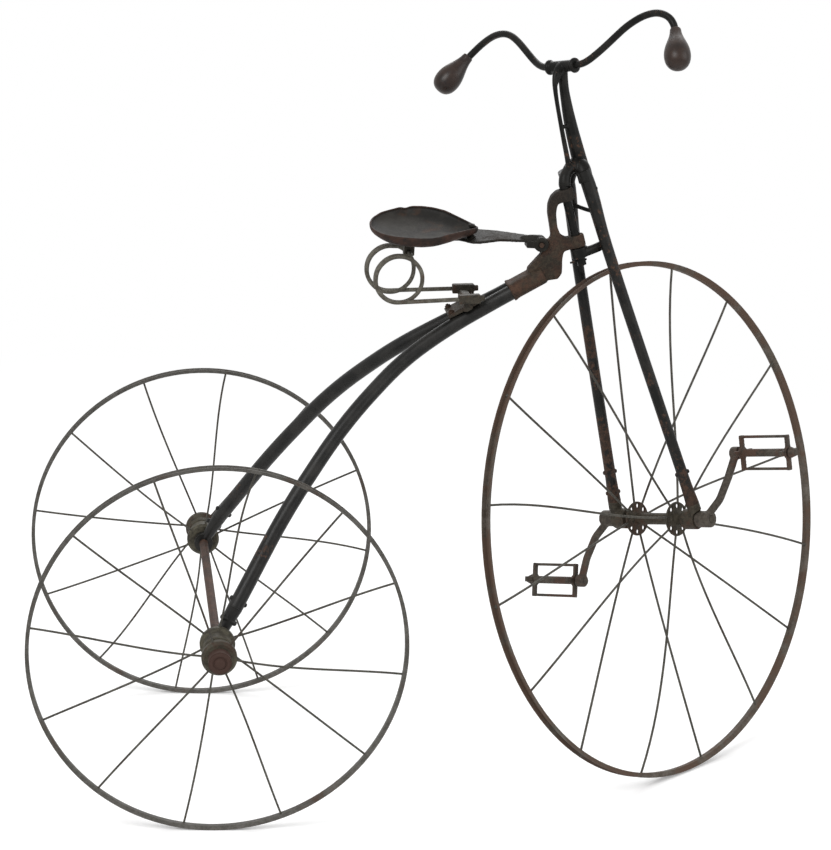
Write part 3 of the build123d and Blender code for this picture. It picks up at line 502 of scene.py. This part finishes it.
def bent_bar(form, stations, matrix):
    """Adds a round bar along a smooth line of (ahead, left, up, radius), in millimetres."""
    line = bpy.data.curves.new("bar", "CURVE")
    line.dimensions = "3D"
    line.bevel_depth = 0.001
    line.bevel_resolution = 6
    line.use_fill_caps = True
    line.resolution_u = 12
    spline = line.splines.new("NURBS")
    spline.points.add(len(stations) - 1)
    for point, (ahead, left, up, radius) in zip(spline.points, stations):
        point.co = (ahead / 1000, left / 1000, up / 1000, 1)
        point.radius = radius
    spline.order_u = 4
    spline.use_endpoint_u = True
    bar = bpy.data.objects.new("bar", line)
    mesh = bpy.data.meshes.new_from_object(bar)
    part = bmesh.new()
    part.from_mesh(mesh)
    put_in(form, part, matrix)
    bpy.data.objects.remove(bar)
    bpy.data.meshes.remove(mesh)


# Each blade is an iron rod that bows out under the crown. It is thicker at both ends,
# where it is let into the crown and into its fork end.
for name, side in (("right", -1), ("left", 1)):
    form = bmesh.new()
    blade = (
        (25.0, 14.6, 466, 8.6), (28.0, 15.2, 452, 9.0), (27.4, 16.8, 438, 9.0), (27.0, 18.4, 424, 8.6),
        (26.0, 20.4, 406, 7.8), (24.6, 22.6, 386, 7.4), (24.0, 26.0, 356, 7.1), (24.2, 33.0, 290, 7.0),
        (25.5, 46.0, 173, 7.0), (26.8, 57.5, 68, 7.0), (27.1, 60.4, 42, 7.4), (27.4, 62.3, 26, 8.4),
        (27.4, 62.6, 23, 8.6),
    )
    bent_bar(form, [(ahead, side * left, up, radius) for ahead, left, up, radius in blade], steered)
    made = piece(f"blade_{name}_rod", form, "fork", "worn_black", fork_paint, crease=60)
    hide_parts(f"fork_blade_{name}")

# The crown is an iron casting that takes both blades' tops. It reaches back and down over
# the pivot pin, which hangs in it.
form = bmesh.new()
bent_bar(form, (
    (25.5, 14.9, 449, 9.2), (28.0, 13.6, 459, 9.6), (33.0, 8.0, 468, 10.4), (35.0, 0, 470, 11.0),
    (33.0, -8.0, 468, 10.4), (28.0, -13.6, 459, 9.6), (25.5, -14.9, 449, 9.2),
), steered)
bent_bar(form, (
    (37, 0, 470, 10.5), (27, 0, 471.5, 8.2), (17, 0, 470.5, 7.0),
    (8.5, 0, 465.5, 7.2), (3.6, 0, 460.5, 7.6), (1.6, 0, 452, 7.4),
), steered)
bent_bar(form, ((18, 0, 468, 5), (22, 0, 474, 4.6), (30, 0, 476, 5.4), (38, 0, 476, 8)), steered)
run_together("crown_casting", form, 0.001, 14, "fork", "worn_black", stem_paint, "fork_crown")

# The stem is cast iron and stands on the crown: a thick bar that thins upward to the
# handlebar's boss, and a slim strut behind it that a small web ties to the bar.
form = bmesh.new()
bent_bar(form, (
    (40.8, 0, 466, 9.9), (40.6, 0, 472, 9.6), (40.0, 0, 486, 9.2), (39.3, 0, 505, 8.6),
    (39.4, 0, 526, 7.8), (41.0, 0, 548, 6.6), (43.2, 0, 568, 5.8), (46.6, 0, 580, 6.0), (49.4, 0, 591, 6.6),
), steered)
bent_bar(form, (
    (17.4, 0, 466, 4.4), (18.2, 0, 474, 3.6), (19.2, 0, 486, 3.2), (20.2, 0, 506, 3.1), (21.8, 0, 528, 2.8),
    (23.6, 0, 550, 2.7), (26.0, 0, 568, 2.9), (29.6, 0, 581, 3.6), (38.0, 0, 590, 4.8), (46, 0, 592, 5.4),
), steered)
bent_bar(form, ((21.5, 0, 523, 2.4), (25, 0, 521.5, 2.6), (32, 0, 520, 2.8), (37, 0, 520, 3.2)), steered)
bent_bar(form, ((28.6, 0, 572, 2.2), (32, 0, 579, 4.0), (38, 0, 586, 5.6), (45, 0, 590, 6.4)), steered)
boss = [
    (0, -0.022), (0.0084, -0.022), (0.0094, -0.0205), (0.0094, -0.0182), (0.0084, -0.0168),
    (0.0072, -0.016),
]
boss = boss + [(r, -h) for r, h in reversed(boss)]
boss_middle = steered @ Matrix.Translation((0.0494, 0, 0.591))
turn_up(form, boss, boss_middle @ Matrix.Rotation(-pi / 2, 4, "X"), 32)
run_together("stem_casting", form, 0.0008, 5, "fork", "worn_black", stem_paint, "stem")

# The lower bridge is a forging that holds the pivot pin's foot between the blades. A thin
# tie rod joins the blades above it. One rivet holds the near blade's foot in its fork end
# and two hold the far blade's, and another shows high on the near blade.
form = copy_of("fork_bridge")
for side, ahead in ((-1, 28.0), (1, 29.5)):
    bent_bar(form, (
        (4, side * 6, 367.5, 6.0), (12, side * 9.5, 368.5, 4.4), (20, side * 13, 369, 4.0),
        (ahead - 1.5, side * 17.5, 369.5, 5.4),
    ), steered)
run_together("bridge_forging", form, 0.0009, 8, "fork", "worn_black", stem_paint, "fork_bridge")
form = bmesh.new()
bent_bar(form, (
    (26.5, 19, 424, 2.6), (25.5, 8, 420, 2.5), (25.0, -6, 414, 2.5), (26.5, -20, 411, 2.6),
), steered)
made = piece("tie_rod", form, "fork", "worn_black", stem_paint, crease=60)
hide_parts("fork_tie")
form = bmesh.new()
near_blade, far_blade = Vector((-0.3716, 0.0728, 0.9256)), Vector((-0.2294, -0.0887, 0.9693))
for place, blade, half in (
    ((0.28554, -0.02441, 0.39402), near_blade, 0.0076),
    ((0.1530, 0.0033, 0.7455), near_blade, 0.0030),
    ((0.21087, 0.06105, 0.36911), far_blade, 0.0074),
    ((0.21747, 0.0636, 0.34122), far_blade, 0.0078),
):
    across = blade.cross(Vector((0, 1, 0))).normalized()
    rivet(form, place, across, half, radius=0.0028, rise=0.002)
piece("fork_rivets", form, "fork", "worn_black", fork_paint)

# The handlebar is one iron rod under black paint, bent by eye, so that its right side
# stands higher than its left. It goes through the boss on the stem.
form = bmesh.new()
bent_bar(form, (
    (60.0, -170.0, 608.5, 4.4), (73.4, -162.3, 618.8, 4.4), (74.0, -161.2, 624.1, 4.4),
    (76.6, -156.7, 629.6, 4.4), (77.4, -150.8, 634.6, 4.4), (78.1, -140.6, 638.2, 4.4),
    (77.7, -130.3, 638.6, 4.4), (76.4, -117.5, 636.8, 4.4), (74.4, -104.2, 632.2, 4.4),
    (71.3, -91.4, 626.4, 4.4), (67.3, -78.3, 618.1, 4.4), (62.7, -65.7, 609.8, 4.4),
    (58.0, -53.3, 602.1, 4.4), (53.3, -41.0, 595.2, 4.4), (50.2, -33.2, 592.2, 4.4),
    (49.4, -24.0, 591.0, 4.4), (49.4, 0.0, 591.0, 4.4), (49.4, 24.0, 591.0, 4.4),
    (50.5, 33.6, 592.6, 4.4), (55.4, 44.7, 596.8, 4.4), (59.6, 54.6, 604.2, 4.4),
    (64.1, 66.3, 615.2, 4.4), (67.5, 76.5, 624.4, 4.4), (71.2, 87.7, 631.0, 4.4),
    (73.5, 99.0, 633.6, 4.4), (75.4, 110.9, 633.1, 4.4), (77.5, 125.3, 630.1, 4.4),
    (77.8, 146.2, 621.2, 4.4), (73.2, 160.3, 611.8, 4.4), (58.0, 171.0, 601.0, 4.4),
), steered)
made = piece("handlebar_rod", form, "fork", "worn_black", stem_paint, crease=60)
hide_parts("handlebar")

# The grips are turned from a close brown wood, dark and shiny from the hand, and are
# driven onto the handlebar's ends.
material, surface, place = skin("turned wood", 0.3)
broad = place.noise(30.0, 5.0, 0.6)
fine = place.noise(210.0, 6.0, 0.7)
worn = place.noise(60.0, 4.0).step(0.4, 0.7)
wood = (broad * 0.7 + fine * 0.3).step(0.36, 0.64)
wood = wood.mix((0.0065, 0.0038, 0.003, 1), (0.026, 0.012, 0.0068, 1))
finish(
    surface,
    Base_Color=(worn * 0.4).mix(wood, (0.026, 0.016, 0.012, 1)),
    Roughness=0.26 + fine * 0.16 + worn * 0.1,
    Normal=bump(fine, 0.12, 0.0003),
)
mouth_past_bend = 4.5
shape = (
    (0, 0), (5.0, 0), (6.6, 0.6), (6.8, 2.5), (7.2, 7), (9.0, 14), (12.2, 22), (15.0, 30), (16.3, 38),
    (15.8, 46), (13.4, 52.5), (9.0, 56.8), (4.0, 58.3), (0, 58.5),
)
for name, side, neck, drop, out in (
    ("right", -1, (73.6, -163.0, 621.1), 43.5, 25.0), ("left", 1, (73.0, 161.0, 612.65), 33.5, 29.0),
):
    way = Vector((-44.5, side * out, -drop)).normalized()
    mouth = Vector(neck) + way * mouth_past_bend
    form = bmesh.new()
    turn_up(form, [(r / 1000, h / 1000) for r, h in shape], steered @ stand(mouth / 1000, way), 40)
    made = piece(f"grip_{name}_turned", form, "fork", "turned_wood", material, crease=50)
    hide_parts(f"grip_{name}")
    round_off = made.modifiers.new("round", "SUBSURF")
    round_off.levels = round_off.render_levels = 1

# The saddle is a shallow dished seat on a flat iron leaf, dark and polished on top and
# red-brown round its turned-up edge and below. Age has dented it and nicked its far edge.
seat = Matrix(
    ((0.99897, -0.00866, -0.04453), (0.0, 0.98163, -0.19081), (0.04536, 0.19061, 0.98062))
).to_4x4()
seat.translation = (-0.06194, 0, 0.69346)
form = bmesh.new()
rings = (
    (0.0018, 0.0560, 0.0565, 0.0150, 1.0),
    (0.0010, 0.0570, 0.0570, 0.0156, 0.85),
    (-0.0012, 0.0562, 0.0565, 0.0150, 0.4),
    (-0.0034, 0.0535, 0.0540, 0.0136, 0.2),
    (-0.0060, 0.0485, 0.0490, 0.0118, 0.1),
    (-0.0084, 0.0400, 0.0400, 0.0104, 0.0),
    (-0.0102, 0.0280, 0.0290, 0.0080, 0.0),
    (-0.0108, 0.0150, 0.0150, 0.0050, 0.0),
)
around = 96
near_rise = 0.0052
far_drop = 0.0008
nose_drop = 0.0062
nick_place = Vector((-0.0086, 0.0537))
nick_reach = 0.007
nick_depth = 0.0035
ring = bmesh.ops.create_circle(form, cap_ends=False, segments=around, radius=1)["verts"]
for row, (height, back, nose, tip, share) in enumerate(rings):
    if row:
        edges = [edge for edge in form.edges if all(corner in ring for corner in edge.verts)]
        grown = bmesh.ops.extrude_edge_only(form, edges=edges)["geom"]
        ring = [item for item in grown if isinstance(item, bmesh.types.BMVert)]
    turn = acos((back - tip) / nose)
    ring.sort(key=lambda corner: Vector(corner.co.xy).angle_signed((1, 0)))
    for number, corner in enumerate(ring):
        angle = -pi + tau * number / around
        near = max(0.0, cos((angle + radians(75)) * 0.95)) if angle < 0.4 else 0.0
        far = max(0.0, cos((angle - radians(140)) * 1.4)) if angle > 0 else 0.0
        up = height + share * (near_rise * near ** 1.3 - far_drop * far)
        if abs(angle) < turn:
            corner.co = (nose + tip * cos(angle), tip * sin(angle), up)
        else:
            corner.co = (back * cos(angle), back * sin(angle), up)
edges = [edge for edge in form.edges if all(corner in ring for corner in edge.verts)]
middle = bmesh.ops.edgeloop_fill(form, edges=edges)["faces"]
bmesh.ops.poke(form, faces=middle)
for corner in form.verts:
    nick = max(0.0, 1 - (corner.co.xy - nick_place).length / nick_reach)
    corner.co.z -= nose_drop * min(1.0, max(0.0, (corner.co.x - 0.035) / 0.035)) ** 2
    dents = 0.0014 * noise.noise(corner.co * 30) + 0.0005 * noise.noise(corner.co * 110)
    corner.co.z += dents - nick_depth * nick
bmesh.ops.recalc_face_normals(form, faces=form.faces)
if sum(face.normal.z for face in form.faces) < 0:
    bmesh.ops.reverse_faces(form, faces=form.faces)
bmesh.ops.transform(form, matrix=seat, verts=form.verts)

saddle_top, surface, place = skin("saddle top")
broad = place.noise(28.0, 5.0, 0.6)
fine = place.noise(420.0, 5.0, 0.7)
cracks = place.node(
    "TexVoronoi", {"feature": "DISTANCE_TO_EDGE"}, ("Vector", place), ("Scale", 190.0)
)
crack = 1 - cracks.step(0.0, 0.06)
top = broad.step(0.35, 0.68).mix((0.013, 0.0122, 0.011, 1), (0.036, 0.033, 0.029, 1))
rubbed = place.noise(16.0, 5.0, 0.65).step(0.56, 0.68) * 0.6
finish(
    surface,
    Base_Color=rubbed.mix(top, (0.07, 0.036, 0.022, 1)),
    Roughness=0.44 + fine * 0.2 + broad * 0.12,
    Normal=bump(fine * 0.5 + broad * 0.8 - crack * 0.25, 0.35, 0.0008),
)
saddle_edge, surface, place = skin("saddle edge")
broad = place.noise(40.0, 5.0, 0.65)
fine = place.noise(300.0, 5.0, 0.7)
rust = (broad * 0.6 + fine * 0.4).step(0.36, 0.64)
finish(
    surface,
    Base_Color=rust.mix((0.013, 0.0095, 0.008, 1), (0.047, 0.024, 0.0165, 1)),
    Roughness=0.5 + fine * 0.25,
    Normal=bump(fine + broad, 0.4, 0.0006),
)
saddle = piece("saddle_seat", form, "frame", "saddle_pan", saddle_top, saddle_edge, crease=70)
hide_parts("saddle")
wall = saddle.modifiers.new("wall", "SOLIDIFY")
wall.thickness = 0.0026
wall.offset = -1
wall.material_offset = 1
wall.material_offset_rim = 1
smooth = saddle.modifiers.new("smooth", "SUBSURF")
smooth.levels = smooth.render_levels = 1

# The leaf is flat forged iron, rolled into an eye on the head casting's knuckle. It widens
# under the saddle's nose, where a stud goes through both.
bar_iron = bare_iron(
    "leaf iron", (0.021, 0.0195, 0.0155, 1), (0.01, 0.009, 0.0075, 1), (0.016, 0.0118, 0.009, 1), 0.4
)
form = copy_of("saddle_bar")
bent_bar(form, (
    (66, 0, 682.6, 2.4), (74, 0, 682.9, 4.0), (82, 0, 682.0, 6.4), (90, 0, 678.5, 8.2),
), Matrix())
run_together("leaf_forging", form, 0.0009, 6, "frame", "rusted_iron", bar_iron, "saddle_bar")
form = bmesh.new()
stud = [
    (0, -0.0142), (0.0052, -0.0142), (0.0052, -0.0122), (0.0026, -0.0112), (0.0026, -0.002),
    (0.0042, 0.0006), (0.0038, 0.0022), (0.0018, 0.003), (0, 0.0031),
]
turn_up(form, stud, seat @ Matrix.Translation((0.066, -0.003, 0)))
piece("nose_stud", form, "frame", "rusted_iron", bar_iron)

# Under the seat are two springs of bare steel wire, coiled once and a half. Their tails go
# into a clamp that is bolted down on both legs.
spring_steel = bare_iron(
    "spring steel", (0.14, 0.132, 0.11, 1), (0.062, 0.056, 0.045, 1), (0.075, 0.05, 0.038, 1), 0.35
)
clamp_brown = bare_iron(
    "clamp brown", (0.055, 0.048, 0.036, 1), (0.022, 0.019, 0.015, 1), (0.045, 0.028, 0.02, 1), 0.55
)
dress(spring_steel, "spring_left", "spring_right")
for name, stood_for in (("clamp_forging", "spring_clamp"), ("spring_seat_block", "spring_seat")):
    run_together(name, copy_of(stood_for), 0.0009, 5, "frame", "rusted_iron", clamp_brown, stood_for)
form = bmesh.new()
clamp_foot = Vector((0.00406, 0, 0.58526))
up, slope, left = Vector((-0.504, 0, 0.8637)), Vector((0.8637, 0, 0.504)), Vector((0, 1, 0))
clamp_top = 0.0142
bolts_out = 0.0155
nut = [
    (0, 0), (0.0042, 0), (0.0042, 0.0022), (0.0037, 0.0028), (0.0022, 0.003), (0.0021, 0.0044),
    (0, 0.0048),
]
for ahead in (-bolts_out, bolts_out):
    for out in (-bolts_out, bolts_out):
        turn_up(form, nut, stand(clamp_foot + up * clamp_top + slope * ahead + left * out, up), 6)
piece("clamp_nuts", form, "frame", "rusted_iron", rusted)

# Studio: a pale floor that goes to white away from the velocipede, a white surround and
# soft light from above
material, surface, place = skin("pale floor", 0.0)
far = place.node("VectorMath", {"operation": "LENGTH"}, (0, place), output=1).step(0.7, 2.2)
seen = place.studio_ray()
finish(
    surface,
    Base_Color=(far * seen).mix((0.9, 0.9, 0.9, 1), (0.0, 0.0, 0.0, 1)),
    Roughness=0.9,
    Emission_Color=seen.mix((0, 0, 0, 1), far.mix((0.22, 0.22, 0.22, 1), (1, 1, 1, 1))),
)
surface.inputs["Emission Strength"].default_value = 1.0
mesh = bpy.data.meshes.new("floor")
form = bmesh.new()
bmesh.ops.create_grid(form, x_segments=1, y_segments=1, size=60)
form.to_mesh(mesh)
form.free()
mesh.materials.append(material)
floor = bpy.data.objects.new("floor", mesh)
bpy.context.scene.collection.objects.link(floor)

world = bpy.data.worlds.new("surround")
bpy.context.scene.world = world
world.use_nodes = True
background = world.node_tree.nodes["Background"]
background.inputs["Color"].default_value = (1, 1, 1, 1)
strength = Shade(world.node_tree, None).studio_ray() * 0.55 + 0.45
world.node_tree.links.new(strength.socket, background.inputs["Strength"])

for name, spot, size, power in (
    ("key", (-2.2, -2.6, 3.2), 2.2, 110.0),
    ("fill", (2.8, -1.8, 2.2), 2.5, 45.0),
    ("rim", (0.6, 3.0, 2.6), 2.5, 60.0),
):
    light = bpy.data.lights.new(name, "AREA")
    light.energy = power
    light.size = size
    lamp = bpy.data.objects.new(name, light)
    lamp.location = spot
    lamp.rotation_euler = (Vector((0, 0, 0.4)) - Vector(spot)).to_track_quat("-Z", "Y").to_euler()
    bpy.context.scene.collection.objects.link(lamp)

# The camera stands where the photograph's did, found from the outlines of the three rims
camera = bpy.data.cameras.new("camera")
camera.lens = 118.73
camera.sensor_width = 36
camera.clip_end = 100
eye = bpy.data.objects.new("camera", camera)
eye.location = (-0.4822, -3.3364, 1.3429)
eye.rotation_euler = [radians(angle) for angle in (74.990, -3.054, -6.543)]
bpy.context.scene.collection.objects.link(eye)
bpy.context.scene.camera = eye
bpy.context.scene.view_settings.view_transform = "Standard"
